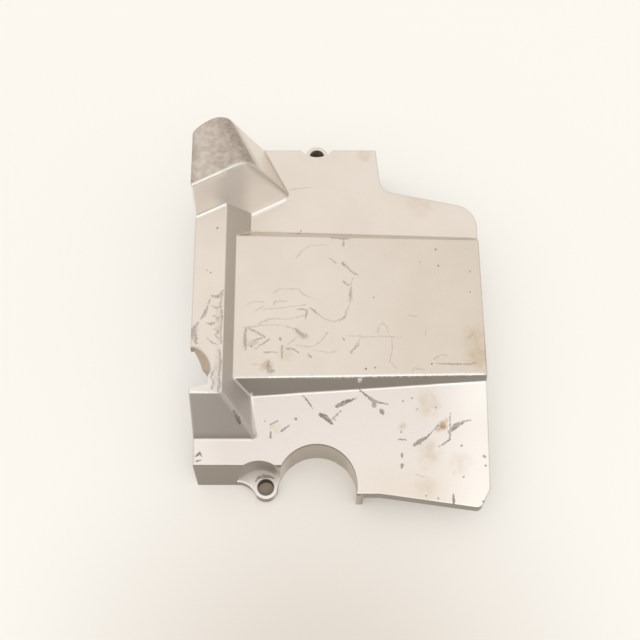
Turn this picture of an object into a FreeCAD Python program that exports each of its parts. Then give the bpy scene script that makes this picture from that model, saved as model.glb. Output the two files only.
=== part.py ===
"""Front sprocket cover of a motorbike: one die-cast shell with a raised panel, a ridge and a boss.

Millimetres. The origin is the lower bolt hole on the mating plane. X runs towards the chain exit,
Y towards the upper bolt, Z outwards from the engine.
"""
import FreeCAD, Part
import math
import os
import re
import Sketcher

# Driving dimensions, in millimetres and degrees.
SIZES = {
    # Shell: a level plate whose lower part falls away towards the lower edge
    "wall": 3.2,
    "plate_height": 28.5,
    "fall_lead": 2.9,
    "fall_angle": 12.0,
    "lip_depth": 6.0,
    "rim_round": 0.8,
    "root_round": 1.6,
    # Outline: left edge, foot wall, lower edge, right edge, notch, top edge
    "left_edge": 30.4,
    "left_lean": 2.2,
    "foot_edge": 2.4,
    "foot_draft": 9.2,
    "lower_edge": 6.5,
    "lower_flat": 9.7,
    "lower_drop": 5.9,
    "corner_width": 4.3,
    "corner_rise": 8.4,
    "corner_round": 3.0,
    "right_foot": 97.8,
    "right_lean": 1.9,
    "notch_mouth": 50.2,
    "notch_lean": 2.2,
    "notch_depth": 21.3,
    "notch_fall": 9.3,
    "notch_round": 6.5,
    "notch_end_round": 11.0,
    "top_band": 48.3,
    # Half-round cut-out in the lower edge, with its collar
    "half_round_gap": 4.9,
    "half_round_depth": 2.9,
    "half_round_radius": 17.7,
    "collar_wall": 2.4,
    # Panel: a low wedge across the plate, highest beside the ridge
    "panel_foot": 40.1,
    "panel_taper": 3.5,
    "panel_length": 68.2,
    "panel_rise": 8.0,
    "panel_rise_end": 2.7,
    "panel_top_draft": 36.5,
    "panel_foot_draft": 31.0,
    "panel_edge": 1.0,
    # Ridge along the left edge
    "ridge_rise": 13.5,
    "ridge_width": 12.4,
    "ridge_past": 8.5,
    "ridge_draft": 38.0,
    "ridge_corner": 2.5,
    "ridge_edge": 1.2,
    # Boss at the upper left, turned in plan; its back cuts off the outline's corner
    "boss_turn": 27.0,
    "boss_rise": 32.5,
    "boss_cut": 12.8,
    "boss_length": 25.5,
    "boss_width": 13.4,
    "boss_front_draft": 15.5,
    "boss_side_draft": 24.0,
    "boss_shoulder": 9.5,
    "boss_back_bow": 24.0,
    "boss_back_round": 4.0,
    "boss_edge": 2.0,
    # Bolt lugs, with room for the bolt heads scalloped out of the walls
    "bolt_hole": 7.0,
    "lug_ring": 5.4,
    "lug_blend": 8.8,
    "lug_edge": 0.6,
    "lower_lug_height": 5.0,
    "lower_scallop": 12.8,
    "lower_scallop_left": 2.5,
    "lower_scallop_out": 5.1,
    "upper_bolt_place": 22.5,
    "upper_bolt_out": 5.6,
    "upper_lug_height": 12.0,
    "upper_scallop": 9.5,
    # Piece broken out of the ridge's left edge
    "bite_gap": 2.0,
    "bite_length": 19.3,
    "bite_depth": 8.8,
    "bite_bow": 10.3,
    "bite_bow_length": 10.3,
    "bite_step": 6.6,
    "bite_step_low": 2.1,
    "bite_step_length": 3.7,
    "bite_slant": 5.0,
    "bite_undercut": 1.6,
    "bite_root_bow": 30.0,
    # How far solids run past what trims them, and how deep the raised forms root in the plate
    "overrun": 20.0,
    "root_height": 10.0,
}

# Places that follow from the sizes.
PANEL_TOP = "(panel_foot + panel_length)"
PANEL_END = "(right_foot + wall)"
TOP_EDGE = f"({PANEL_TOP} + top_band)"
FALL_START = "(panel_foot + fall_lead)"
CORNER_EDGE = "(lower_edge + lower_drop)"
HALF_ROUND_X = "(half_round_gap + half_round_radius)"
LOWER_BEND = f"({HALF_ROUND_X} + half_round_radius + lower_flat)"
UPPER_BOLT_Y = f"({TOP_EDGE} + upper_bolt_out)"
RIDGE_TOP = "(plate_height + ridge_rise)"
RIDGE_SIDE = "(ridge_width - left_edge)"
RIDGE_END = "(panel_foot - ridge_past)"
BOSS_TOP = "(plate_height + boss_rise)"
BOSS_LEFT_Y = f"({TOP_EDGE} - boss_cut * tan(boss_turn))"
BOSS_BACK = f"((left_edge - boss_cut) * sin(boss_turn) + {TOP_EDGE} * cos(boss_turn))"
BOSS_FRONT = f"({BOSS_BACK} - boss_length)"
BOSS_SIDE = f"({BOSS_LEFT_Y} * sin(boss_turn) - left_edge * cos(boss_turn) + boss_width)"
LOWER_SCALLOP = ("-lower_scallop_left", "-lower_scallop_out")
TALL = f"({BOSS_TOP} + 2 * overrun)"

doc = FreeCAD.newDocument("SprocketCover")
sheet = doc.addObject("Spreadsheet::Sheet", "Sizes")
for row, (alias, value) in enumerate(SIZES.items(), start=1):
    sheet.set(f"A{row}", alias.replace("_", " "))
    sheet.set(f"B{row}", str(value))
    sheet.setAlias(f"B{row}", alias)
doc.recompute()


def bound(text):
    """An expression in which each size name points at its cell."""
    return re.sub(r"[a-z_]+", lambda word: ("Sizes." if word[0] in SIZES else "") + word[0], text)


def number(text):
    """What an expression comes to."""
    return float(sheet.evalExpression(bound(text)))


def spot(x, y, z):
    """The point whose coordinates are three expressions."""
    return FreeCAD.Vector(number(x), number(y), number(z))


def boss_spot(across, along, z):
    """The point given along the boss's own turned axes."""
    turned = FreeCAD.Rotation(FreeCAD.Vector(0, 0, 1), number("boss_turn"))
    return turned.multVec(spot(across, along, z))


def new_body(name):
    return doc.addObject("PartDesign::Body", name)


def origin_plane(body, role):
    return next(feature for feature in body.Origin.OriginFeatures if feature.Role == role)


def bow_middle(start, end, radius):
    """Middle of the arc between two points; it bulges to the right of the way, or left if negative."""
    chord = end - start
    depth = abs(radius) - math.sqrt(radius ** 2 - chord.Length ** 2 / 4)
    outward = FreeCAD.Vector(chord.y, -chord.x, 0).normalize()
    return (start + end) / 2 + outward * math.copysign(depth, radius)


def outline(body, name, role, corners, lift="0", turn="0", bows=None):
    """Closed sketch through corners given as pairs of expressions, anticlockwise.

    bows names the sides that are arcs: a side's number and the expression of its radius, with a
    minus sign where the arc is hollow.
    """
    bows = bows or {}
    sketch = body.newObject("Sketcher::SketchObject", name)
    sketch.AttachmentSupport = (origin_plane(body, role), "")
    sketch.MapMode = "FlatFace"
    upright = FreeCAD.Rotation(FreeCAD.Vector(0, 0, 1), 1)
    sketch.AttachmentOffset = FreeCAD.Placement(FreeCAD.Vector(), upright)
    sketch.setExpression("AttachmentOffset.Base.z", bound(lift))
    sketch.setExpression("AttachmentOffset.Rotation.Angle", bound(turn))
    points = [FreeCAD.Vector(number(across), number(up), 0) for across, up in corners]
    count = len(points)
    ends = []
    for side in range(count):
        start = points[side]
        end = points[(side + 1) % count]
        hollow = side in bows and number(bows[side]) < 0
        if side in bows:
            sketch.addGeometry(Part.Arc(start, bow_middle(start, end, number(bows[side])), end))
        else:
            sketch.addGeometry(Part.LineSegment(start, end))
        ends.append((2, 1) if hollow else (1, 2))

    def pin(kind, places, text):
        index = sketch.addConstraint(Sketcher.Constraint(kind, *places, number(text)))
        sketch.setExpression(f"Constraints[{index}]", bound(text))

    for side in range(count):
        following = (side + 1) % count
        joint = (side, ends[side][1], following, ends[following][0])
        sketch.addConstraint(Sketcher.Constraint("Coincident", *joint))
    for side, (across, up) in enumerate(corners):
        pin("DistanceX", (-1, 1, side, ends[side][0]), across)
        pin("DistanceY", (-1, 1, side, ends[side][0]), up)
    for side, radius in bows.items():
        pin("Radius", (side,), f"abs({radius})")
    return sketch


def pad(body, name, sketch, length, side_type="One side", below=False):
    feature = body.newObject("PartDesign::Pad", name)
    feature.Profile = sketch
    feature.SideType = side_type
    feature.Reversed = below
    feature.setExpression("Length", bound(length))
    doc.recompute()


def loft(body, name, first, second):
    feature = body.newObject("PartDesign::AdditiveLoft", name)
    feature.Profile = first
    feature.Sections = [second]
    feature.Ruled = True
    doc.recompute()


def names_at(kind, shapes, points):
    """Names of the edges or faces that pass through the points."""
    close = 0.01
    return [next(f"{kind}{index}" for index, shape in enumerate(shapes, start=1)
                 if shape.distToShape(Part.Vertex(point))[0] < close) for point in points]


def round_edges(body, name, edges, radius):
    """Fillet on named edges of the body as it stands."""
    base = body.Tip
    feature = body.newObject("PartDesign::Fillet", name)
    feature.Base = (base, edges)
    feature.setExpression("Radius", bound(radius))
    doc.recompute()


def round_edges_at(body, name, points, radius):
    """Fillet on the edges through the points."""
    round_edges(body, name, names_at("Edge", body.Tip.Shape.Edges, points), radius)


def uprights_at(shape, feet):
    """Names of the edges that rise from points on the mating plane."""
    close = 0.01
    rising = [(f"Edge{index}", edge) for index, edge in enumerate(shape.Edges, start=1)
              if edge.BoundBox.ZLength > close]
    return [next(name for name, edge in rising if edge.Vertexes[0].Point.isEqual(foot, close)
                 or edge.Vertexes[-1].Point.isEqual(foot, close)) for foot in feet]


def edge_corner(shape, edge):
    """Middle of an edge and the outward directions of the faces that meet there."""
    middle = edge.valueAt((edge.FirstParameter + edge.LastParameter) / 2)
    faces = [] if edge.Degenerated else shape.ancestorsOfType(edge, Part.Face)
    return middle, [face.normalAt(*face.Surface.parameter(middle)) for face in faces]


def is_inside_corner(shape, middle, outward):
    """True where two faces meet in a hollow angle: stepping over one face runs into the other."""
    smooth = math.radians(15)
    step = 0.05
    if len(outward) != 2 or outward[0].getAngle(outward[1]) < smooth:
        return False
    over = (outward[0] - outward[1]).normalize()
    return shape.isInside(middle + over * step, step / 100, False)


def inside_corners(shape, kept):
    """Names of the inside corners of a shape that lie within the kept solid or run into it."""
    close = 0.01
    names = []
    for index, edge in enumerate(shape.Edges, start=1):
        middle, outward = edge_corner(shape, edge)
        touches = kept.isInside(middle, close, True) or kept.distToShape(edge)[0] < close
        if touches and is_inside_corner(shape, middle, outward):
            names.append(f"Edge{index}")
    return names


def rim_edges(shape):
    """Names of the edges where an upright wall of the outline meets what lies on top."""
    upright = 0.2
    names = []
    for index, edge in enumerate(shape.Edges, start=1):
        middle, outward = edge_corner(shape, edge)
        rises = sorted(direction.z for direction in outward)
        meets = len(rises) == 2 and abs(rises[0]) < upright < rises[1]
        if meets and not is_inside_corner(shape, middle, outward):
            names.append(f"Edge{index}")
    return names


def moved_in(inset, draft):
    """How far the top edge of a leaning wall moves when top and wall both move in by the inset."""
    return f"({inset}) * (1 - sin({draft})) / cos({draft})"


def field(name, drop, under):
    """Plate level with its falling lower part, over the whole plan, lowered by the drop."""
    body = new_body(name)
    near = f"-({CORNER_EDGE} + overrun)"
    far = f"{TOP_EDGE} + overrun"
    level = f"plate_height - ({drop})"
    near_level = f"{level} - ({FALL_START} + {CORNER_EDGE} + overrun) * tan(fall_angle)"
    corners = [(near, f"-({under})"), (far, f"-({under})"), (far, level), (FALL_START, level),
               (near, near_level)]
    profile = outline(body, f"{name}_profile", "YZ_Plane", corners)
    pad(body, f"{name}_pad", profile, "2 * (right_foot + overrun)", "Symmetric")
    return body


def add_panel(body, name, inset):
    """Wedge across the plate: its top falls away from the ridge, its long walls lean."""

    def section(label, place, rise, foot):
        level = f"plate_height + {rise} - ({inset})"
        deep = f"({level} - root_height)"
        low = f"{foot} + {moved_in(inset, 'panel_foot_draft')}"
        high = f"{PANEL_TOP} - {moved_in(inset, 'panel_top_draft')}"
        corners = [(f"{low} - {deep} * tan(panel_foot_draft)", "root_height"),
                   (f"{high} + {deep} * tan(panel_top_draft)", "root_height"),
                   (high, level), (low, level)]
        return outline(body, label, "YZ_Plane", corners, place)

    start = section(f"{name}_start", RIDGE_SIDE, "panel_rise", "panel_foot")
    end = section(f"{name}_end", PANEL_END, "panel_rise_end", "panel_foot + panel_taper")
    loft(body, name, start, end)


def add_mound(body, name, inset, height, side, side_draft, front, front_draft, left, back, turn="0"):
    """Block with a level top, lofted from a wider foot so that its side and front walls lean."""
    level = f"{height} - ({inset})"
    deep = f"({level} - root_height)"
    side_top = f"{side} - {moved_in(inset, side_draft)}"
    front_top = f"{front} + {moved_in(inset, front_draft)}"

    def rectangle(label, side_place, front_place, lift):
        corners = [(left, front_place), (side_place, front_place), (side_place, back), (left, back)]
        return outline(body, label, "XY_Plane", corners, lift, turn)

    foot = rectangle(f"{name}_foot", f"{side_top} + {deep} * tan({side_draft})",
                     f"{front_top} - {deep} * tan({front_draft})", "root_height")
    top = rectangle(f"{name}_top", side_top, front_top, level)
    loft(body, name, foot, top)


def add_ridge(body, name, inset):
    """The ridge runs up into the boss, and past the left edge, where the outline trims it."""
    inside_boss = f"({BOSS_FRONT} + boss_length / 2 - left_edge * sin(boss_turn)) / cos(boss_turn)"
    add_mound(body, name, inset, RIDGE_TOP, RIDGE_SIDE, "ridge_draft", RIDGE_END, "ridge_draft",
              "-(left_edge + overrun)", inside_boss)


def add_boss(body, name, inset):
    """The boss stands square to its own turned axes and is trimmed at its back and left."""
    add_mound(body, name, inset, BOSS_TOP, BOSS_SIDE, "boss_side_draft", BOSS_FRONT, "boss_front_draft",
              f"{BOSS_SIDE} - {BOSS_TOP}", f"{BOSS_BACK} + overrun", "boss_turn")


def outer_form(kept):
    """Plate, panel, ridge and boss with their rounded edges, before the outline trims them."""
    body = field("outer_form", "0", "0")
    add_panel(body, "panel", "0")
    middle = f"({RIDGE_SIDE} + {PANEL_END}) / 2"
    level = "plate_height + (panel_rise + panel_rise_end) / 2"
    long_edges = [spot(middle, PANEL_TOP, level), spot(middle, "panel_foot + panel_taper / 2", level)]
    round_edges_at(body, "panel_edges", long_edges, "panel_edge")
    add_ridge(body, "ridge", "0")
    lean = "ridge_corner * tan(ridge_draft)"
    corner = spot(f"{RIDGE_SIDE} + {lean}", f"{RIDGE_END} - {lean}", f"{RIDGE_TOP} - ridge_corner")
    round_edges_at(body, "ridge_corner", [corner], "ridge_corner")
    rim = [spot(RIDGE_SIDE, FALL_START, RIDGE_TOP), spot("-left_edge", RIDGE_END, RIDGE_TOP)]
    round_edges_at(body, "ridge_edges", rim, "ridge_edge")
    add_boss(body, "boss", "0")
    shoulder = boss_spot(BOSS_SIDE, f"{BOSS_FRONT} + boss_length / 2", BOSS_TOP)
    round_edges_at(body, "boss_shoulder", [shoulder], "boss_shoulder")
    arch = boss_spot(f"{BOSS_SIDE} - boss_length", BOSS_FRONT, BOSS_TOP)
    round_edges_at(body, "boss_edges", [arch], "boss_edge")
    round_edges(body, "root_rounds", inside_corners(body.Tip.Shape, kept), "root_round")
    return body


def inner_form():
    """The same forms moved in by the wall, and run out below the mating plane."""
    body = field("inner_form", "wall", "overrun")
    add_panel(body, "panel_hollow", "wall")
    add_ridge(body, "ridge_hollow", "wall")
    add_boss(body, "boss_hollow", "wall")
    return body


def lean_wall(body, name, place, angle, outwards=False):
    """Lean the wall through a point back as it rises, or outwards, about its line on the mating plane."""
    base = body.Tip
    feature = body.newObject("PartDesign::Draft", name)
    feature.Base = (base, names_at("Face", base.Shape.Faces, [place]))
    feature.NeutralPlane = (origin_plane(body, "XY_Plane"), [""])
    feature.Reversed = outwards
    feature.setExpression("Angle", bound(angle))
    doc.recompute()


def lean_foot(body, name, foot):
    """Lean the foot wall back as it rises."""
    lean_wall(body, name, spot("-left_edge / 2", foot, "lower_lug_height"), "foot_draft")


def outer_outline():
    """The plan of the cover as a tall block, with its rounded corners and leaning foot wall."""
    body = new_body("outer_outline")
    corners = {
        "foot": ("-left_edge", "foot_edge"),
        "foot_end": (HALF_ROUND_X, "foot_edge"),
        "lower_start": (HALF_ROUND_X, "-lower_edge"),
        "lower_bend": (LOWER_BEND, "-lower_edge"),
        "lower_corner": ("right_foot - corner_width", f"-{CORNER_EDGE}"),
        "right_foot": ("right_foot", f"corner_rise - {CORNER_EDGE}"),
        "notch_end": ("right_foot - right_lean", f"{TOP_EDGE} - notch_depth - notch_fall"),
        "notch_corner": ("notch_mouth + notch_lean", f"{TOP_EDGE} - notch_depth"),
        "notch_mouth": ("notch_mouth", TOP_EDGE),
        "boss_back": ("boss_cut - left_edge", TOP_EDGE),
        "boss_left": ("-left_edge", BOSS_LEFT_Y),
    }
    bows = {list(corners).index("boss_back"): "boss_back_bow"}
    plan = outline(body, "outer_plan", "XY_Plane", list(corners.values()), bows=bows)
    pad(body, "outer_block", plan, TALL)
    lean_foot(body, "foot_lean", "foot_edge")
    lean_wall(body, "left_lean", spot("-left_edge", FALL_START, RIDGE_TOP), "left_lean", outwards=True)

    def round_corners(name, labels, radius):
        feet = [spot(*corners[label], "0") for label in labels]
        round_edges(body, name, uprights_at(body.Tip.Shape, feet), radius)

    round_corners("lower_rounds", ["lower_corner", "right_foot"], "corner_round")
    round_corners("notch_end_round", ["notch_end"], "notch_end_round")
    round_corners("notch_round", ["notch_corner"], "notch_round")
    round_corners("boss_back_round", ["boss_left"], "boss_back_round")
    return body


def inner_outline():
    """The plan of the hollow: walled at foot, lower edge, top and boss back, open left and right."""
    body = new_body("inner_outline")
    beyond_left = "(left_edge + overrun)"
    beyond_right = "(right_foot + overrun)"
    steep = f"lower_drop / (right_foot - corner_width - {LOWER_BEND})"
    back = f"({BOSS_BACK} - wall)"
    corners = [
        (f"-{beyond_left}", "foot_edge + wall"),
        (HALF_ROUND_X, "foot_edge + wall"),
        (HALF_ROUND_X, "wall - lower_edge"),
        (LOWER_BEND, "wall - lower_edge"),
        (beyond_right, f"wall - lower_edge - ({beyond_right} - {LOWER_BEND}) * {steep}"),
        (beyond_right, f"{TOP_EDGE} - wall"),
        (f"(({TOP_EDGE} - wall) * cos(boss_turn) - {back}) / sin(boss_turn)", f"{TOP_EDGE} - wall"),
        (f"-{beyond_left}", f"({back} - {beyond_left} * sin(boss_turn)) / cos(boss_turn)"),
    ]
    plan = outline(body, "inner_plan", "XY_Plane", corners, "-overrun")
    pad(body, "inner_block", plan, TALL)
    lean_foot(body, "inner_lean", "foot_edge + wall")
    return body


def lug(name, x, y, wall_line, outward, height):
    """Ring round a bolt hole, blended by a hollow arc on each side into the wall behind it."""
    body = new_body(name)
    gap = f"(({outward}) * ({y} - ({wall_line})))"
    spread = f"sqrt((lug_ring + lug_blend)^2 - (lug_blend - {gap})^2)"
    share = "(lug_ring / (lug_ring + lug_blend))"
    meet_y = f"{y} + ({outward}) * (lug_blend - {gap}) * {share}"
    back_y = f"{wall_line} - ({outward}) * wall"
    first, last = ("-", "+") if number(outward) < 0 else ("+", "-")
    corners = [(f"{x} {first} {spread}", wall_line), (f"{x} {first} {spread} * {share}", meet_y),
               (f"{x} {last} {spread} * {share}", meet_y), (f"{x} {last} {spread}", wall_line),
               (f"{x} {last} {spread}", back_y), (f"{x} {first} {spread}", back_y)]
    bows = {0: "-lug_blend", 1: "lug_ring", 2: "-lug_blend"}
    pad(body, f"{name}_pad", outline(body, f"{name}_plan", "XY_Plane", corners, bows=bows), height)
    tip = spot(x, f"{y} + ({outward}) * lug_ring", height)
    round_edges_at(body, f"{name}_edge", [tip], "lug_edge")
    return body


def bite():
    """Piece broken out of the ridge's left edge; the break slants in under a bowed upper rim."""
    body = new_body("bite")
    beyond = "-(left_edge + overrun)"
    low = f"({RIDGE_END} + bite_gap)"
    high = f"({low} + bite_length)"
    step_low = f"{low} + bite_step_low"
    step_high = f"{step_low} + bite_step_length"

    def ring(label, lift, slant, undercut, bow):
        corners = [(beyond, low), ("-left_edge", low), ("bite_step - left_edge", step_low),
                   ("bite_step - left_edge", step_high),
                   (f"bite_depth - {slant} - left_edge", f"{high} - bite_bow_length"),
                   ("-left_edge", f"{high} - {undercut}"), (beyond, f"{high} - {undercut}")]
        return outline(body, label, "XY_Plane", corners, lift, bows={4: bow})

    root = ring("bite_root", f"{RIDGE_TOP} - wall", "bite_slant", "bite_undercut", "bite_root_bow")
    rim = ring("bite_rim", RIDGE_TOP, "0", "0", "bite_bow")
    loft(body, "bite_break", root, rim)
    pad(body, "bite_below", root, "wall", below=True)
    pad(body, "bite_above", rim, "wall")
    return body


def cylinder(name, x, y, base, radius):
    """Tall upright cylinder, to keep material or to cut it away."""
    shape = doc.addObject("Part::Cylinder", name)
    shape.setExpression("Placement.Base.x", bound(x))
    shape.setExpression("Placement.Base.y", bound(y))
    shape.setExpression("Placement.Base.z", bound(base))
    shape.setExpression("Radius", bound(radius))
    shape.setExpression("Height", bound(TALL))
    return shape


def box(name, places, lengths):
    """Box from its lowest corner and its three lengths."""
    shape = doc.addObject("Part::Box", name)
    for axis, place in zip("xyz", places):
        shape.setExpression(f"Placement.Base.{axis}", bound(place))
    for side, length in zip(("Length", "Width", "Height"), lengths):
        shape.setExpression(side, bound(length))
    return shape


def join(name, shapes):
    feature = doc.addObject("Part::MultiFuse", name)
    feature.Shapes = shapes
    feature.Refine = True
    return feature


def combine(kind, name, base, tool):
    """Part::Cut or Part::Common of two solids."""
    feature = doc.addObject(kind, name)
    feature.Base = base
    feature.Tool = tool
    feature.Refine = True
    doc.recompute()
    return feature


def rounded_block():
    """The outer forms trimmed by the outline, with a small round along the trimmed rim."""
    plan = outer_outline()
    body = new_body("rounded_block")
    body.BaseFeature = combine("Part::Common", "block", outer_form(plan.Shape), plan)
    doc.recompute()
    round_edges(body, "rim_rounds", rim_edges(body.Tip.Shape), "rim_round")
    return body


def hollow_core():
    """What the shell leaves empty: the inner forms, less the collar and the bolt pillars."""
    hollow = combine("Part::Common", "hollow", inner_form(), inner_outline())
    collar_radius = "half_round_radius + collar_wall"
    kept = join("kept", [
        cylinder("collar", HALF_ROUND_X, "-half_round_depth", "-overrun", collar_radius),
        cylinder("lower_pillar", *LOWER_SCALLOP, "-overrun", "lower_scallop + wall"),
        cylinder("upper_pillar", "upper_bolt_place", UPPER_BOLT_Y, "-overrun", "upper_scallop + wall"),
    ])
    return combine("Part::Cut", "core", hollow, kept)


def chain_window():
    """Opening under the short lip of the lower edge, right of the collar."""
    start = f"{HALF_ROUND_X} + half_round_radius + collar_wall"
    plan = box("window_plan", (start, f"-({CORNER_EDGE} + overrun)", "-overrun"),
               ("right_foot", f"{CORNER_EDGE} + overrun + {FALL_START}", "plate_height + overrun"))
    return combine("Part::Common", "window", field("window_level", "lip_depth", "overrun"), plan)


shell = combine("Part::Cut", "shell", rounded_block(), hollow_core())
cast = join("cast", [
    shell,
    lug("lower_lug", "0", "0", "foot_edge", "-1", "lower_lug_height"),
    lug("upper_lug", "upper_bolt_place", UPPER_BOLT_Y, TOP_EDGE, "1", "upper_lug_height"),
])
cuts = join("cuts", [
    chain_window(),
    cylinder("half_round", HALF_ROUND_X, "-half_round_depth", "-overrun", "half_round_radius"),
    cylinder("lower_bore", "0", "0", "-overrun", "bolt_hole / 2"),
    cylinder("upper_bore", "upper_bolt_place", UPPER_BOLT_Y, "-overrun", "bolt_hole / 2"),
    cylinder("lower_access", *LOWER_SCALLOP, "lower_lug_height", "lower_scallop"),
    cylinder("upper_access", "upper_bolt_place", UPPER_BOLT_Y, "upper_lug_height", "upper_scallop"),
    bite(),
])
cover = combine("Part::Cut", "cover", cast, cuts)
cover.Label = "sprocket_cover"
doc.recompute()

for item in doc.Objects:
    faults = [state for state in item.State if state in ("Invalid", "Error")]
    if faults:
        raise RuntimeError(f"{item.Name}: {faults}")
if cover.Shape.isNull() or not cover.Shape.isValid() or len(cover.Shape.Solids) != 1:
    raise RuntimeError("the cover isn't one sound solid")

os.makedirs("parts", exist_ok=True)
cover.Shape.exportStep(f"parts/{cover.Label}.step")
extent = cover.Shape.optimalBoundingBox(False)
print(f"{cover.Label}: {extent.XLength:.1f} x {extent.YLength:.1f} x {extent.ZLength:.1f} mm, "
      f"{cover.Shape.Volume / 1000:.1f} cm3, {len(cover.Shape.Faces)} faces")
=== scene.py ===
"""A motorbike's front sprocket cover, one silver-painted casting, lying face up on a pale table."""

import math

import bpy
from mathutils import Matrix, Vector

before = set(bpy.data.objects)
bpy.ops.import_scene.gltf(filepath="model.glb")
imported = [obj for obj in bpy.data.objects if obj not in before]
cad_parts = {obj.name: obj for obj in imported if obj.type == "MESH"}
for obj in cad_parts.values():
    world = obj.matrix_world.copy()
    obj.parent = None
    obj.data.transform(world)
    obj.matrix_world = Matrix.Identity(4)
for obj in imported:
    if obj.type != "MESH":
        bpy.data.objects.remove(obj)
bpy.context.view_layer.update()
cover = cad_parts["sprocket_cover"]

MM = 0.001

# The camera looks down from the foot of the cover.
CAMERA_AIM = Vector((24.0, 69.7, 30.0)) * MM
CAMERA_ELEVATION = math.radians(68.0)
CAMERA_DISTANCE = 580.0 * MM
CAMERA_LENS = 73.4
CAMERA_SENSOR = 36.0

# A soft room that is dim near the table, most of all at the cover's foot, and one soft lamp overhead.
ROOM_COLOUR = (1.0, 0.975, 0.935, 1.0)
ROOM_HIGH = 1.0
ROOM_LOW = (0.55, 0.12)
ROOM_FOOT = (-0.65, -0.92)
ROOM_DIM = 0.50
ROOM_FOOT_DIM = 0.40
LAMP_COLOUR = (1.0, 0.985, 0.96)
LAMP_PLACE = Vector((0.17, -0.52, 1.03))
LAMP_SIZE = 0.4
LAMP_POWER = 0.75

# The table in metres: a painted shadow at the cover's foot and a painted brown shadow in the bolt holes.
# It glows where it is open, and less within the given distance of the cover.
TABLE_SIZE = 4.0
TABLE_COLOUR = (0.995, 0.97, 0.915, 1.0)
TABLE_ROUGHNESS = 0.7
TABLE_CLOUDS = (6.0, 3.0)
TABLE_CLOUD_SHARE = 0.06
TABLE_SHADE = (0.74, 0.67, 0.59, 1.0)
TABLE_SHADE_PLACE = (0.024, -0.095, 0.0)
TABLE_SHADE_REACH = 0.16
TABLE_SHADE_SHARE = 0.85
TABLE_SHADOW_IN_HOLES = (0.64, 0.53, 0.42, 1.0)
HOLES_OVER_TABLE = [(0.0, 0.0, 0.006), (0.0225, 0.1622, 0.006)]
HOLE_FADE = (-0.002, 0.0)
TABLE_GLOW = 0.62
TABLE_SHUT_IN = 0.045
SHUT_IN_SAMPLES = 4

# Colours of the paint and of what lies on it or under it, as linear light.
PAINT = (0.805, 0.735, 0.665, 1.0)
# A darker tone of the paint, also put on as painted shade.
PAINT_DARKER = (0.70, 0.62, 0.535, 1.0)
PAINT_PALE = (0.765, 0.71, 0.675, 1.0)
# A lighter tone of the paint, put on as painted highlights and painted light.
PAINT_HIGHLIT = (0.93, 0.90, 0.865, 1.0)
# The colour of painted shade on walls and edges.
PAINTED_SHADE_COLOUR = (0.22, 0.19, 0.155, 1.0)
BARE = (0.165, 0.14, 0.115, 1.0)
SCORED = (0.19, 0.145, 0.105, 1.0)
RUBBED = (0.31, 0.25, 0.20, 1.0)
# Bright metal for flakes, bare rims and rubbed edges, and the colour of painted highlights.
BRIGHT_METAL_AND_HIGHLIGHT = (0.96, 0.935, 0.90, 1.0)
STAIN = (0.62, 0.49, 0.32, 1.0)
RUST = (0.46, 0.26, 0.10, 1.0)
BROKEN_METAL = (0.50, 0.405, 0.30, 1.0)
RAW_CASTING = (0.36, 0.34, 0.31, 1.0)
GRIME = (0.09, 0.075, 0.06, 1.0)

# Gouges through the paint of the falling plate, the ridge's front and the lower lug: points along each, with
# half its width there, in millimetres from that lug's hole.
GOUGES = [
    [(16.5, 35.5, 0.15), (19.0, 32.5, 0.35), (21.0, 29.5, 0.1)],
    [(24.0, 27.3, 0.7), (26.5, 26.0, 1.1), (29.2, 23.4, 0.5)],
    [(29.5, 25.4, 0.3), (33.0, 28.8, 0.25)],
    [(31.5, 30.8, 0.7), (34.5, 32.3, 1.0), (37.5, 33.4, 0.5), (40.2, 34.4, 0.15)],
    [(41.0, 38.0, 0.15), (45.0, 34.8, 0.5), (47.5, 33.0, 0.8), (50.0, 32.3, 0.4), (53.8, 31.6, 0.15)],
    [(47.5, 33.0, 0.6), (47.6, 31.2, 1.1)],
    [(50.7, 28.8, 0.9), (51.3, 27.9, 0.8)],
    [(64.8, 14.2, 0.5), (67.0, 15.6, 1.0), (70.5, 17.6, 0.45), (73.0, 20.2, 0.15), (75.5, 22.6, 0.2)],
    [(80.3, 19.8, 0.8), (83.0, 22.3, 1.0), (86.5, 24.2, 0.5), (89.8, 25.0, 0.1)],
    [(80.7, 28.0, 0.1), (80.6, 20.5, 0.3), (80.3, 16.5, 0.4), (75.5, 13.4, 0.15)],
    [(58.0, 16.6, 0.2), (59.6, 16.5, 0.5), (61.2, 16.4, 0.2)],
    [(59.6, 10.4, 0.5), (59.6, 9.2, 0.3)],
    [(59.5, 6.0, 0.6), (59.4, 4.8, 0.6)],
    [(2.3, 22.9, 0.25), (5.6, 24.6, 0.35)],
    [(7.3, 20.3, 0.5), (10.7, 22.7, 0.15)],
    [(2.5, 17.3, 0.4), (2.6, 19.8, 0.3)],
    [(81.5, -6.6, 0.2), (81.6, -9.0, 0.5), (81.6, -12.6, 0.6)],
    [(-30.0, 9.4, 0.25), (-28.2, 10.8, 0.6), (-27.0, 9.4, 0.2)],
    [(-29.6, 7.4, 0.35), (-27.6, 7.8, 0.3)],
    [(-12.9, 25.7, 0.5), (-12.1, 24.4, 0.8)],
    [(-11.3, 23.5, 0.9), (-10.5, 22.2, 0.6)],
    [(-4.6, 2.6, 0.3), (-3.6, 4.2, 0.6), (-1.0, 5.1, 0.8), (1.6, 5.0, 0.7), (3.4, 4.0, 0.3)],
]

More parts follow.
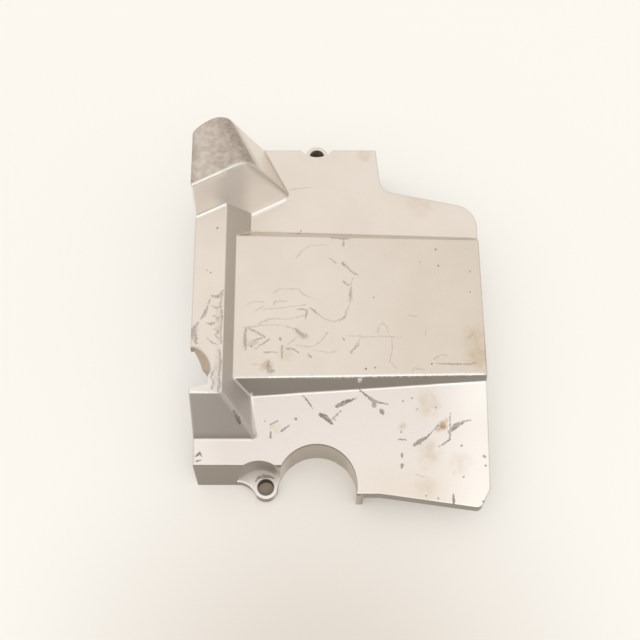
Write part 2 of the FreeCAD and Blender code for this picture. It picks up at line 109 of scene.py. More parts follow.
# Marks rubbed into the paint of the panel, its upper edge and the ridge, given in the same way.
SCORES = [
    [(13.0, 63.6, 0.4), (15.2, 61.5, 0.9), (17.3, 59.8, 0.7), (18.3, 61.3, 0.3)],
    [(28.2, 98.1, 0.15), (31.0, 95.6, 0.3)],
    [(34.3, 95.4, 0.7), (36.2, 93.6, 0.35), (38.6, 91.0, 0.4), (40.8, 89.9, 0.4)],
    [(34.3, 86.6, 0.35), (36.2, 84.9, 0.4), (37.5, 85.6, 0.2)],
    [(38.0, 84.5, 0.2), (37.5, 80.2, 0.65), (37.4, 77.5, 0.2)],
    [(19.6, 73.6, 0.2), (21.4, 72.2, 0.6), (23.0, 70.8, 0.15)],
    [(35.6, 71.5, 0.2), (34.8, 69.2, 0.4), (33.0, 67.8, 0.2)],
    [(-8.4, 63.4, 0.3), (-8.9, 58.0, 0.9), (-8.4, 53.3, 0.3)],
    [(-7.1, 63.2, 0.5), (-3.4, 61.4, 0.35), (-0.2, 59.4, 0.4), (-5.4, 57.6, 0.25)],
    [(-4.3, 53.7, 0.25), (1.7, 58.2, 0.35)],
    [(-6.2, 55.2, 0.6), (-5.6, 55.0, 0.5)],
    [(6.4, 58.8, 0.6), (6.6, 58.3, 0.6)],
    [(7.4, 55.4, 0.4), (7.5, 49.6, 0.3)],
    [(-0.1, 52.1, 0.5), (2.5, 52.4, 0.2), (5.5, 52.2, 0.2)],
    [(1.8, 48.4, 0.3), (1.4, 46.0, 0.8), (2.2, 43.8, 1.2), (4.0, 43.8, 0.5)],
    [(29.0, 108.0, 0.3), (35.5, 107.6, 0.5), (37.5, 107.7, 0.2)],
    [(34.6, 107.5, 0.3), (34.6, 104.4, 0.5)],
    [(17.6, 68.2, 0.2), (18.0, 70.2, 0.5), (18.3, 72.5, 0.35), (13.8, 72.9, 0.2)],
    [(18.9, 51.5, 0.4), (19.9, 50.3, 0.5)],
    [(9.6, 53.9, 0.3), (12.5, 53.9, 0.45), (14.8, 52.2, 0.3)],
    [(34.3, 59.4, 0.5), (34.6, 58.6, 0.3)],
    [(37.6, 52.9, 0.5), (41.2, 56.9, 0.3)],
    [(75.0, 48.3, 0.2), (82.0, 48.1, 0.4), (89.5, 48.2, 0.3), (92.7, 49.3, 0.15)],
    [(13.4, 111.4, 0.5), (15.7, 114.8, 0.25)],
    [(-18.2, 79.2, 0.3), (-20.6, 75.9, 0.9), (-23.4, 76.2, 0.35)],
    [(-24.0, 75.0, 0.25), (-25.4, 70.5, 0.3), (-26.4, 67.4, 0.9), (-27.8, 65.6, 0.35)],
    [(-28.8, 63.7, 0.4), (-31.0, 60.4, 1.1), (-30.4, 57.0, 1.3), (-29.4, 54.2, 0.6)],
    [(-25.2, 63.3, 0.35), (-23.2, 63.0, 0.6), (-21.6, 63.5, 0.3)],
    [(-21.9, 60.6, 0.3), (-19.8, 59.4, 0.4), (-21.6, 57.8, 0.35), (-19.5, 56.3, 0.4)],
    [(-18.7, 77.0, 0.35), (-19.4, 72.5, 0.25), (-18.6, 66.0, 0.5), (-19.0, 60.0, 0.3), (-18.6, 54.0, 0.4)],
    [(-21.8, 41.0, 0.6), (-22.6, 38.6, 0.3), (-21.4, 36.4, 0.4), (-22.0, 33.4, 0.5)],
    [(-19.2, 51.0, 0.3), (-18.7, 45.0, 0.7), (-19.2, 40.0, 0.5), (-18.8, 35.0, 0.8), (-19.4, 32.0, 0.4)],
    [(-23.2, 71.6, 0.2), (-21.0, 70.4, 0.4), (-19.8, 71.4, 0.3)],
    [(-22.4, 67.0, 0.3), (-20.6, 65.6, 0.4), (-19.6, 66.4, 0.3)],
    [(-24.8, 56.4, 0.2), (-22.6, 54.4, 0.35), (-20.4, 53.4, 0.3)],
]

# Soft smudges round the worst of those marks.
SMUDGES = [
    [(-19.6, 52.0, 0.6), (-20.0, 44.0, 1.2), (-20.4, 34.0, 1.4)],
    [(-20.0, 72.0, 0.5), (-20.2, 62.0, 1.0), (-19.6, 55.0, 0.6)],
    [(-29.8, 62.0, 0.8), (-30.4, 56.0, 1.4)],
    [(-8.8, 61.0, 0.5), (-8.8, 55.0, 1.2), (-4.0, 57.0, 1.0)],
    [(13.5, 62.6, 0.6), (17.0, 60.0, 1.6)],
    [(1.6, 47.5, 0.8), (2.4, 44.0, 1.8)],
    [(37.6, 82.0, 0.5), (37.4, 78.0, 0.8)],
]

# Light scratches, most of them in the paint of the panel.
SCRATCHES = [
    [(38.5, 88.5, 0.3), (37.5, 81.5, 0.35), (37.2, 76.0, 0.3), (34.5, 69.0, 0.35), (30.0, 67.0, 0.25)],
    [(30.0, 67.0, 0.25), (26.0, 68.5, 0.3), (19.5, 73.5, 0.35)],
    [(13.5, 98.0, 0.4), (16.0, 101.5, 0.2), (19.5, 104.0, 0.25), (27.5, 104.5, 0.15)],
    [(3.5, 80.5, 0.35), (6.0, 82.5, 0.25), (14.5, 82.5, 0.2), (16.5, 80.0, 0.35), (21.0, 78.0, 0.15)],
    [(-8.0, 75.0, 0.4), (-6.0, 76.0, 0.3), (-1.0, 76.0, 0.25)],
    [(-5.0, 71.5, 0.25), (-1.0, 74.0, 0.3)],
    [(9.0, 76.6, 0.2), (4.0, 76.4, 0.5), (3.6, 74.6, 0.4)],
    [(-1.0, 72.4, 0.2), (4.5, 73.0, 0.25), (18.0, 75.0, 0.15)],
    [(-3.0, 65.5, 0.35), (2.0, 68.0, 0.35), (10.0, 68.0, 0.2), (17.5, 70.0, 0.2)],
    [(-9.0, 63.5, 0.4), (-2.0, 64.8, 0.3), (3.0, 65.4, 0.2), (8.5, 65.0, 0.2), (13.0, 63.2, 0.35)],
    [(13.5, 55.9, 0.2), (20.5, 55.0, 0.3), (24.5, 57.8, 0.25), (27.3, 62.2, 0.35)],
    [(20.5, 53.6, 0.2), (28.4, 52.6, 0.2), (31.0, 53.4, 0.2)],
    [(10.2, 56.3, 0.2), (13.9, 59.6, 0.3)],
    [(-5.7, 46.6, 0.25), (-1.0, 46.4, 0.25), (2.0, 48.6, 0.2)],
    [(35.8, 60.5, 0.2), (42.4, 60.6, 0.2), (37.6, 52.9, 0.25)],
    [(49.5, 62.5, 0.25), (50.0, 65.5, 0.2), (52.0, 67.0, 0.25), (53.5, 65.0, 0.2), (54.0, 62.5, 0.25)],
    [(41.5, 60.2, 0.2), (55.5, 60.6, 0.25), (60.0, 59.8, 0.15)],
    [(55.5, 60.5, 0.3), (55.7, 54.5, 0.25), (54.5, 49.0, 0.25), (57.5, 45.5, 0.2)],
    [(71.0, 64.0, 0.3), (70.5, 61.5, 0.25)],
    [(63.5, 70.6, 0.3), (66.5, 70.6, 0.2)],
    [(74.0, 50.3, 0.35), (77.0, 52.5, 0.25), (79.5, 52.2, 0.3)],
    [(65.0, 46.0, 0.3), (69.5, 45.2, 0.25)],
    [(89.7, 60.8, 0.35), (91.6, 62.6, 0.3)],
    [(65.5, 2.0, 0.2), (69.0, 0.7, 0.3)],
    [(10.0, 135.5, 0.25), (20.5, 137.0, 0.2)],
]

# Single chips: x, y and radius.
CHIPS = [
    (59.3, 19.8, 0.4), (13.5, 25.4, 0.6), (94.6, -9.6, 0.6), (85.5, 14.0, 0.5), (86.0, 0.7, 0.55),
    (60.2, 33.0, 0.35), (64.1, 34.3, 0.3), (66.5, 29.6, 0.4), (74.4, 30.1, 0.35), (75.0, -8.3, 0.4),
    (69.8, -7.0, 0.4), (95.3, 9.4, 0.7), (95.6, 5.6, 0.5), (98.0, -1.0, 0.4), (76.4, 103.2, 0.5),
    (77.2, 95.1, 0.45), (69.1, 96.9, 0.35), (91.3, 92.5, 0.4), (90.9, 82.7, 0.4), (48.0, 79.0, 0.35),
    (72.8, 48.0, 0.4), (64.5, 45.0, 0.35), (44.0, 45.3, 0.5), (48.0, 45.8, 0.4), (-21.9, 109.2, 0.5),
    (-25.6, 88.7, 0.35), (-24.2, 87.5, 0.35), (-26.2, 122.4, 0.6), (0.0, 24.6, 0.3), (30.5, 25.0, 0.35),
]

# Soft brown stains: x, y, radius and strength. Each is full within a share of its radius.
STAIN_HEART = 0.2
STAINS = [
    (93.5, 52.5, 9.0, 0.55), (92.5, 61.0, 8.0, 0.42), (71.0, 31.5, 7.5, 0.35), (71.5, 11.0, 7.5, 0.32),
    (59.8, 22.0, 3.5, 0.45), (84.5, 7.0, 7.0, 0.24), (70.0, 130.0, 10.0, 0.25), (44.5, 154.0, 5.0, 0.30),
    (0.5, 46.0, 4.0, 0.60), (9.0, 52.0, 6.0, 0.25), (4.0, 21.0, 3.0, 0.30), (70.0, -4.0, 7.0, 0.22),
]

# Rusty spots: x, y, radius and strength.
RUST_SPOTS = [(77.4, 22.4, 2.8, 0.85), (75.4, 20.8, 1.8, 0.55), (79.0, 24.6, 1.6, 0.4)]
RUSTY_EDGE = [[(97.0, 69.0, 0.2), (97.1, 60.0, 0.7), (97.3, 50.0, 0.9), (97.4, 45.0, 0.5)]]

# Edges rubbed bright that also carry painted highlights, fillets with painted highlights, edges with
# painted shade, and a band of painted shade along the boss's shoulder.
RUBBED_HIGHLIGHT_EDGES = [
    [(2.0, 40.9, 0.3), (30.0, 41.6, 0.45), (60.0, 42.7, 0.5), (95.0, 43.9, 0.5)],
    [(-31.0, 31.9, 0.4), (-24.0, 31.8, 0.3)],
    [(41.0, 40.8, 0.7), (41.6, 40.8, 0.7)],
    [(-31.8, 120.2, 0.8), (-24.5, 124.2, 0.8), (-17.5, 127.6, 0.3)],
]
HIGHLIGHT_FILLETS = [
    [(-5.9, 35.5, 0.5), (-4.7, 21.0, 0.6), (-4.3, 18.8, 0.2)],
    [(-6.6, 122.7, 1.0), (0.9, 126.6, 1.2), (7.4, 130.0, 0.9)],
    [(-31.4, 114.8, 0.6), (-18.8, 120.6, 0.6)],
]
SHADED_EDGES = [
    [(-17.8, 31.0, 1.2), (-4.8, 18.2, 1.6)],
    [(-8.0, 132.4, 0.5), (-1.0, 132.4, 0.7), (8.6, 132.5, 0.5)],
]
BOSS_SHOULDER = [[(-15.0, 152.5, 0.4), (-6.5, 136.0, 0.8)]]

# Noises in the paint: how often each repeats in a millimetre, its detail and its roughness.
GRAIN = (3.2, 2.0, 0.7)
CLOUD = (0.035, 3.0, 0.55)
FLECK = (1.1, 4.0, 0.75)
MOTTLE = (0.34, 5.0, 0.68)

# How the places of marks and of stains are pushed about: how often in a millimetre, and how far. Both pushes
# have the same detail and roughness, and go either way from the middle of their noise.
RAGGED = (0.9, 1.5)
WOBBLY = (0.22, 9.0)
PUSH = (3.0, 0.6)
PUSH_MIDDLE = (0.5, 0.5, 0.5)

# From how far outside a mark it begins to show, and how far within it shows in full.
GOUGE_FADE = (0.25, -0.2)
CHIP_FADE = (0.2, -0.2)
SCORE_FADE = (0.3, -0.3)
SCRATCH_FADE = (0.25, -0.2)
SMUDGE_FADE = (1.2, -0.9)
RUST_FADE = (0.4, -0.4)
EDGE_FADE = (0.3, -0.3)
FILLET_FADE = (0.5, -0.5)
SHADED_EDGE_FADE = (1.0, -1.0)
SHOULDER_FADE = (4.0, -0.4)

# Between which levels of its noise each thing comes in.
BARE_LEVELS = (0.38, 0.62)
SCORE_LEVELS = (0.30, 0.52)
SCRATCH_LEVELS = (0.32, 0.56)
SMUDGE_LEVELS = (0.30, 0.62)
STAIN_LEVELS = (0.34, 0.62)
RUST_LEVELS = (0.3, 0.55)
EDGE_LEVELS = (0.30, 0.50)
SPECK_LEVELS = (0.66, 0.72)
SPECK_CLOUD_LEVELS = (0.40, 0.58)
BOSS_LEVELS = (0.26, 0.70)
DULL_LEVELS = (0.3, 0.7)
SPARKLE_LEVELS = (0.35, 0.75)
GRIME_LEVELS = (0.4, 0.7)

# Between which levels of a face's direction each thing comes in: how far the face looks up, ahead, which is
# away from the foot, or across, which is to the right.
TOP_UP = (0.35, 0.6)
BRIGHT_UP = (-0.1, 0.2)
WALL_UP = (0.78, 0.62)
BREAK_UP = (0.93, 0.85)
LUG_UP = (0.7, 0.9)
LUG_EDGE_UP = (0.2, 0.5)
INSIDE_WALL_UP = (0.5, 0.3)
UNDERSIDE_UP = (-0.2, -0.45)
BOSS_TOP_AHEAD = (-0.40, -0.05)
BOSS_FRONT_AHEAD = (-0.30, -0.70)
FOOT_WALL_AHEAD = (-0.55, -0.80)
RIDGE_SIDE_ACROSS = (0.5, 0.7)

# Places on the cover in millimetres. A pair is a soft edge, from where a thing is absent to where it is full.
BREAK_FROM_Y, BREAK_TO_Y = (33.0, 33.6), (53.6, 53.0)
BREAK_X = (-20.8, -21.4)
BREAK_Z = (37.0, 37.5)
BREAK_RIM_Z = (40.8, 41.5)
BOSS_TOP_Z = (50.0, 55.0)
BOSS_RIGHT_X = (-29.0, -14.0)
BOSS_LEFT_X = (-30.0, -32.0)
BOSS_SHOULDER_Z = (44.0, 50.0)
BOSS_FRONT_Y = (100.0, 108.0)
BOSS_BAND_FROM_X, BOSS_BAND_TO_X = (-25.0, -17.0), (-6.0, -13.0)
FOOT_Y = (50.0, 46.0)
RIDGE_FRONT_FROM_Y, RIDGE_FRONT_TO_Y = (17.0, 19.5), (36.0, 33.0)
RIDGE_SIDE_X, RIDGE_SIDE_Y, RIDGE_SIDE_Z = (-4.0, -7.0), (126.0, 122.0), (24.0, 26.0)
HALF_ROUND = (22.6, -2.9, 0.0)
HALF_ROUND_REACH = (21.0, 19.0)
PLATE_AT_LUG = 19.3
PLATE_RISE = 0.217
RIM_DEPTH = (3.4, 1.6)
HOLE_WALL = (4.0, 3.7)
LUG_FROM_Z, LUG_TO_Z = (3.8, 4.4), (6.2, 5.6)
LUG_RIM = (5.4, 6.0)
COVER_MIDDLE = (30.0, 78.0, 0.0)
INWARD_WALL = (-4.0, -10.0)
INSIDE_Z = (27.0, 25.5)
FALLING_PLATE_Y, FALLING_PLATE_Z = (43.0, 41.0), (12.0, 14.0)
# Where the falling plate has painted highlights at its ends and painted shade at its low end.
HIGHLIT_RIGHT_X, HIGHLIT_LEFT_X = (68.0, 95.0), (-14.0, -32.0)
HIGHLIT_CORNER_Y = (20.0, 38.0)
LOW_END_X, LOW_END_Y = (30.0, 55.0), (14.0, -8.0)
PANEL_FROM_Z, PANEL_TO_Z = (30.5, 31.0), (38.0, 37.2)
PANEL_X, PANEL_Y = (0.0, 95.0), (39.5, 41.0)

# How strongly each thing shows; where there are two, the second is what its noise or place adds.
BARE_STRENGTH = (0.48, 0.34)
SCORE_STRENGTH = 0.50
SCRATCH_STRENGTH = 0.28
SMUDGE_STRENGTH = 0.24
STAIN_STRENGTH = (0.45, 0.75)
RUSTY_EDGE_STRENGTH = 0.5
EDGE_HIGHLIGHT_STRENGTH = 0.9
SPECK_STRENGTH = 0.35
SPARKLE_STRENGTH = 0.14
BOSS_WEAR = 0.54
BOSS_WEAR_RIGHT = 0.26
BOSS_WEAR_LEFT = 0.25
BOSS_WEAR_STRENGTH = (0.40, 0.60)
BREAK_STRENGTH = (0.55, 0.7)
BREAK_RIM_STRENGTH = 0.8
# Strengths of the painted shade on walls, edges, the half round's rim and the boss's shoulder.
FOOT_SHADE = 0.20
FRONT_SHADE = 0.53
LESS_ON_RIDGE = 0.21
LESS_IN_HALF_ROUND = 0.55
BOSS_BAND_SHADE = 0.20
RIDGE_SIDE_SHADE = 0.34
SHADED_EDGE_STRENGTH = 0.42
RIM_SHADE = 0.85
SHOULDER_SHADE = 0.34
DULL_CLOUDS = 0.30
PANEL_DARKENING = (0.06, 0.58)
PALE_STRENGTH = 0.9
LOW_END_STRENGTH = 0.6
HIGHLIT_LEFT_STRENGTH = 0.6
HIGHLIT_STRENGTH = (0.7, 0.3)
LUG_FACE_STRENGTH = 0.8
LUG_EDGE_STRENGTH = 0.9
LUG_RIM_STRENGTH = 0.8
HOLE_WALL_DARKENING = 0.85
INSIDE_GRIME = 0.6

# The sheen of sound paint, what full dullness changes in it, and the heights of the bump in millimetres.
ROUGHNESS, GRAIN_ROUGHNESS, DULL_ROUGHNESS = 0.30, 0.08, 0.30
METALLIC, DULL_METALLIC = 0.96, 0.6
BREAK_DULLNESS = 0.7
SHADE_DULLNESS = 0.9
GRAIN_HEIGHT = 0.02
CASTING_HEIGHT = 0.15
BUMP_STRENGTH = 0.6

FLAT = (1.0, 1.0, 0.0)


class Value:
    """One value in a material, whose arithmetic adds Math nodes."""

    def __init__(self, finish, socket):
        self.finish = finish
        self.socket = socket

    def math(self, operation, *others):
        sockets = dict(enumerate((self, *others)))
        return self.finish.add("ShaderNodeMath", {"operation": operation}, sockets)

    def reflected(self, operation, other):
        return self.finish.add("ShaderNodeMath", {"operation": operation}, {0: other, 1: self})

    def __add__(self, other):
        return self.math("ADD", other)

    def __sub__(self, other):
        return self.math("SUBTRACT", other)

    def __mul__(self, other):
        return self.math("MULTIPLY", other)

    def __radd__(self, other):
        return self.reflected("ADD", other)

    def __rsub__(self, other):
        return self.reflected("SUBTRACT", other)

    def __rmul__(self, other):
        return self.reflected("MULTIPLY", other)

    def least(self, other):
        return self.math("MINIMUM", other)

    def most(self, other):
        return self.math("MAXIMUM", other)

    def clamped(self):
        return self.finish.add("ShaderNodeClamp", {}, {"Value": self})

    def step(self, start, end):
        """0 at start and 1 at end, smoothly, also where end is the smaller."""
        low, high = min(start, end), max(start, end)
        settings = {"interpolation_type": "SMOOTHSTEP", "clamp": False}
        sockets = {"Value": self, "From Min": low, "From Max": high}
        sockets["To Min"], sockets["To Max"] = (0.0, 1.0) if start < end else (1.0, 0.0)
        return self.finish.add("ShaderNodeMapRange", settings, sockets)


class Finish:
    """The node tree of a material or of the world."""

    def __init__(self, owner):
        owner.use_nodes = True
        self.tree = owner.node_tree
        self.tree.nodes.clear()

    def add(self, kind, settings=None, sockets=None, out=0):
        """Adds a node and gives the value that comes out of it, if any does."""
        node = self.tree.nodes.new(kind)
        for name, setting in (settings or {}).items():
            setattr(node, name, setting)
        for name, given in (sockets or {}).items():
            if isinstance(given, Value):
                self.tree.links.new(given.socket, node.inputs[name])
            else:
                node.inputs[name].default_value = given
        return Value(self, node.outputs[out]) if node.outputs else None

    def coordinates(self, *names):
        node = self.add("ShaderNodeTexCoord").socket.node
        return [Value(self, node.outputs[name]) for name in names]

    def vector(self, operation, *given, out=0):
        return self.add("ShaderNodeVectorMath", {"operation": operation}, dict(enumerate(given)), out)

    def scaled(self, given, factor):
        return self.add("ShaderNodeVectorMath", {"operation": "SCALE"}, {0: given, "Scale": factor})

    def parts(self, given):
        split = self.add("ShaderNodeSeparateXYZ", {}, {0: given}).socket.node
        return [Value(self, socket) for socket in split.outputs]

    def mixed(self, factor, first, second):
        settings = {"data_type": "RGBA"}
        return self.add("ShaderNodeMix", settings, {0: factor, 6: first, 7: second}, out=2)

    def noise(self, place, scale, detail=2.0, roughness=0.5, out=0):
        sockets = {"Vector": place, "Scale": scale, "Detail": detail, "Roughness": roughness}
        return self.add("ShaderNodeTexNoise", {}, sockets, out)

    def unsettled(self, place, flat_place, scale, reach):
        """The flat place, pushed about by a noise, so that what is drawn there gets a ragged edge."""
        push = self.noise(place, scale, *PUSH, out="Color")
        push = self.vector("SUBTRACT", push, PUSH_MIDDLE)
        pushed = self.vector("ADD", flat_place, self.scaled(push, reach))
        return self.vector("MULTIPLY", pushed, FLAT)

    def run(self, place, start, end):
        """How far a place is outside a run that goes from one point to the next, below 0 within it."""
        along = Vector((*end[:2], 0.0)) - Vector((*start[:2], 0.0))
        offset = self.vector("SUBTRACT", place, (*start[:2], 0.0))
        share = self.vector("DOT_PRODUCT", offset, along / along.length_squared, out="Value").clamped()
        away = self.vector("DISTANCE", offset, self.scaled(tuple(along), share), out="Value")
        return share.math("MULTIPLY_ADD", start[2] - end[2], away) - start[2]

    def marks(self, place, strokes):
        """How far a place is outside the nearest of the strokes, below 0 within one."""
        nearest = None
        for points in strokes:
            for start, end in zip(points, points[1:]):
                outside = self.run(place, start, end)
                nearest = outside if nearest is None else nearest.least(outside)
        return nearest

    def spots(self, place, chips):
        """How far a place is outside the nearest of the round chips, below 0 within one."""
        nearest = None
        for x, y, radius in chips:
            outside = self.vector("DISTANCE", place, (x, y, 0.0), out="Value") - radius
            nearest = outside if nearest is None else nearest.least(outside)
        return nearest

    def blots(self, place, stains):
        """The strongest of the soft round stains at a place."""
        strongest = None
        for x, y, radius, strength in stains:
            away = self.vector("DISTANCE", place, (x, y, 0.0), out="Value")
            blot = away.step(radius, radius * STAIN_HEART) * strength
            strongest = blot if strongest is None else strongest.most(blot)
        return strongest


class CoverFinish(Finish):
    """The cover's finish: where a point lies, in millimetres, which way it looks, and the paint's noises."""

    def __init__(self, material):
        super().__init__(material)
        place, self.facing = self.coordinates("Object", "Normal")
        self.place = self.scaled(place, 1.0 / MM)
        self.x, self.y, self.z = self.parts(self.place)
        self.across, self.ahead, self.up = self.parts(self.facing)
        self.flat_place = self.vector("MULTIPLY", self.place, FLAT)
        self.ragged_place = self.unsettled(self.place, self.flat_place, *RAGGED)
        self.wobbly_place = self.unsettled(self.place, self.flat_place, *WOBBLY)
        noises = [self.noise(self.place, *settings) for settings in (GRAIN, CLOUD, FLECK, MOTTLE)]
        self.grain, self.cloud, self.fleck, self.mottle = noises
        self.top_face = self.up.step(*TOP_UP)

    def bare_spots(self):
        """Gouges and chips through the paint, on the faces that look up."""
        gouge = self.marks(self.ragged_place, GOUGES).step(*GOUGE_FADE) * self.top_face
        chip = self.spots(self.ragged_place, CHIPS).step(*CHIP_FADE) * self.top_face
        least, more = BARE_STRENGTH
        return gouge.most(chip) * (least + self.mottle.step(*BARE_LEVELS) * more)

    def rubbed_marks(self):
        """Scores, scratches and smudges in the paint, on the same faces."""
        score = self.marks(self.ragged_place, SCORES).step(*SCORE_FADE)
        score = score * self.fleck.step(*SCORE_LEVELS) * self.top_face
        scratch = self.marks(self.ragged_place, SCRATCHES).step(*SCRATCH_FADE)
        scratch = scratch * self.fleck.step(*SCRATCH_LEVELS) * self.top_face
        smudge = self.marks(self.ragged_place, SMUDGES).step(*SMUDGE_FADE)
        smudge = smudge * self.mottle.step(*SMUDGE_LEVELS) * self.top_face
        return (score * SCORE_STRENGTH).most(scratch * SCRATCH_STRENGTH).most(smudge * SMUDGE_STRENGTH)

    def stains(self):
        least, more = STAIN_STRENGTH
        return self.blots(self.wobbly_place, STAINS) * (least + self.mottle.step(*STAIN_LEVELS) * more)

    def rust(self):
        spots = self.blots(self.ragged_place, RUST_SPOTS) * self.mottle.step(*RUST_LEVELS)
        edge = self.marks(self.ragged_place, RUSTY_EDGE).step(*RUST_FADE)
        return spots.most(edge * RUSTY_EDGE_STRENGTH)

    # Edges rubbed bright that also carry painted highlights, and painted highlights on fillets.
    def rubbed_and_highlit_edges(self):
        edges = self.marks(self.ragged_place, RUBBED_HIGHLIGHT_EDGES).step(*EDGE_FADE)
        edges = edges * self.fleck.step(*EDGE_LEVELS)
        fillets = self.marks(self.flat_place, HIGHLIGHT_FILLETS).step(*FILLET_FADE)
        return edges.most(fillets) * self.up.step(*BRIGHT_UP)

    def specks(self):
        return self.fleck.step(*SPECK_LEVELS) * self.cloud.step(*SPECK_CLOUD_LEVELS) * self.top_face

    def boss_wear(self):
        """The boss's top is dull and rubbed, most of all at its right and left edges."""
        boss_top = self.z.step(*BOSS_TOP_Z) * self.top_face
        wear = BOSS_WEAR + self.x.step(*BOSS_RIGHT_X) * BOSS_WEAR_RIGHT
        wear = wear + self.x.step(*BOSS_LEFT_X) * BOSS_WEAR_LEFT
        even, mottled = BOSS_WEAR_STRENGTH
        wear = wear * (self.mottle.step(*BOSS_LEVELS) * mottled + even)
        return wear * boss_top * self.ahead.step(*BOSS_TOP_AHEAD)

    # A band of painted shade along the boss's shoulder.
    def boss_shoulder(self):
        shoulder = self.marks(self.flat_place, BOSS_SHOULDER).step(*SHOULDER_FADE)
        return shoulder * self.z.step(*BOSS_SHOULDER_Z)

    def broken_piece(self):
        """The break in the ridge, and its upper rim."""
        along = self.y.step(*BREAK_FROM_Y) * self.y.step(*BREAK_TO_Y)
        face = along * self.x.step(*BREAK_X) * self.z.step(*BREAK_Z) * self.up.step(*BREAK_UP)
        return face, face * self.z.step(*BREAK_RIM_Z)

    def boss_front(self):
        return self.ahead.step(*BOSS_FRONT_AHEAD) * self.y.step(*BOSS_FRONT_Y)

    def painted_shade(self, boss_front, shoulder):
        """Painted shade on the walls at the cover's foot, most of all on those that look towards it, and on
        some edges.
        """
        boss_band = boss_front * self.x.step(*BOSS_BAND_FROM_X) * self.x.step(*BOSS_BAND_TO_X)
        foot_wall = self.up.step(*WALL_UP) * self.y.step(*FOOT_Y)
        ridge_front = self.y.step(*RIDGE_FRONT_FROM_Y) * self.y.step(*RIDGE_FRONT_TO_Y)
        from_half_round = self.vector("DISTANCE", self.flat_place, HALF_ROUND, out="Value")
        half_round = from_half_round.step(*HALF_ROUND_REACH)
        below_plate = self.y * PLATE_RISE + PLATE_AT_LUG - self.z
        rim = below_plate.step(*RIM_DEPTH) * half_round * foot_wall
        front = self.ahead.step(*FOOT_WALL_AHEAD) * (FRONT_SHADE - ridge_front * LESS_ON_RIDGE)
        wall_shade = FOOT_SHADE + front * (1 - half_round * LESS_IN_HALF_ROUND)
        wall_shade = (wall_shade * foot_wall).most(boss_band * BOSS_BAND_SHADE)
        ridge_side = self.across.step(*RIDGE_SIDE_ACROSS) * self.z.step(*RIDGE_SIDE_Z)
        ridge_side = ridge_side * self.x.step(*RIDGE_SIDE_X) * self.y.step(*RIDGE_SIDE_Y)
        shaded_edge = self.marks(self.flat_place, SHADED_EDGES).step(*SHADED_EDGE_FADE)
        wall_shade = wall_shade.most(ridge_side * RIDGE_SIDE_SHADE).most(shaded_edge * SHADED_EDGE_STRENGTH)
        return wall_shade.most(rim * RIM_SHADE).most(shoulder * SHOULDER_SHADE)

    def raw_inside(self):
        """The underside and the walls that look inwards, which have no paint."""
        outward = self.vector("SUBTRACT", self.flat_place, COVER_MIDDLE)
        inward_wall = self.vector("DOT_PRODUCT", outward, self.facing, out="Value").step(*INWARD_WALL)
        inward_wall = inward_wall * self.z.step(*INSIDE_Z) * self.up.step(*INSIDE_WALL_UP)
        return self.up.step(*UNDERSIDE_UP).most(inward_wall)

    def paint_and_painted_light(self, boss_front):
        """The paint's colour: darker on the panel, pale on the falling plate, with painted light and shade.
        """
        plate = self.y.step(*FALLING_PLATE_Y) * self.z.step(*FALLING_PLATE_Z) * self.top_face
        ends = self.x.step(*HIGHLIT_RIGHT_X).most(self.x.step(*HIGHLIT_LEFT_X) * HIGHLIT_LEFT_STRENGTH) * plate
        panel = self.z.step(*PANEL_FROM_Z) * self.z.step(*PANEL_TO_Z)
        panel = panel * self.y.step(*PANEL_Y) * self.top_face
        least, more = PANEL_DARKENING
        dullness = self.cloud.step(*DULL_LEVELS) * DULL_CLOUDS
        dullness = dullness + panel * (least + self.x.step(*PANEL_X) * more)
        colour = self.mixed(dullness, PAINT, PAINT_DARKER)
        colour = self.mixed(plate * PALE_STRENGTH, colour, PAINT_PALE)
        # Painted shade at the falling plate's low end.
        low_end = self.y.step(*LOW_END_Y) * self.x.step(*LOW_END_X) * plate
        colour = self.mixed(low_end * LOW_END_STRENGTH, colour, PAINT_DARKER)
        # Painted highlights at the falling plate's ends, and painted light on the boss's front.
        least, more = HIGHLIT_STRENGTH
        highlit = ends * (least + self.y.step(*HIGHLIT_CORNER_Y) * more)
        colour = self.mixed(highlit.most(boss_front), colour, PAINT_HIGHLIT)
        return self.mixed(self.grain.step(*SPARKLE_LEVELS) * SPARKLE_STRENGTH, colour, BRIGHT_METAL_AND_HIGHLIGHT)

    def lighten_lug(self, colour):
        """The colour with the lower lug's face bare and painted lighter, and a painted highlight on its rim.
        """
        from_hole = self.vector("LENGTH", self.flat_place, out="Value")
        face = self.z.step(*LUG_TO_Z) * self.z.step(*LUG_FROM_Z) * self.up.step(*LUG_UP)
        colour = self.mixed(face * LUG_FACE_STRENGTH, colour, PAINT_HIGHLIT)
        edge = self.z.step(*LUG_TO_Z) * self.up.step(*LUG_EDGE_UP) * LUG_EDGE_STRENGTH
        rim = from_hole.step(*LUG_RIM) * face.most(edge)
        return self.mixed(rim * LUG_RIM_STRENGTH, colour, BRIGHT_METAL_AND_HIGHLIGHT)

    def grimy_inside(self, colour, raw):
        """The colour darker on the lower bolt hole's wall, and raw casting with grime inside."""
        hole_wall = self.vector("LENGTH", self.flat_place, out="Value").step(*HOLE_WALL)
        colour = self.mixed(hole_wall * HOLE_WALL_DARKENING, colour, GRIME)
        raw_colour = self.mixed(self.fleck.step(*GRIME_LEVELS) * INSIDE_GRIME, RAW_CASTING, GRIME)
        return self.mixed(raw, colour, raw_colour)


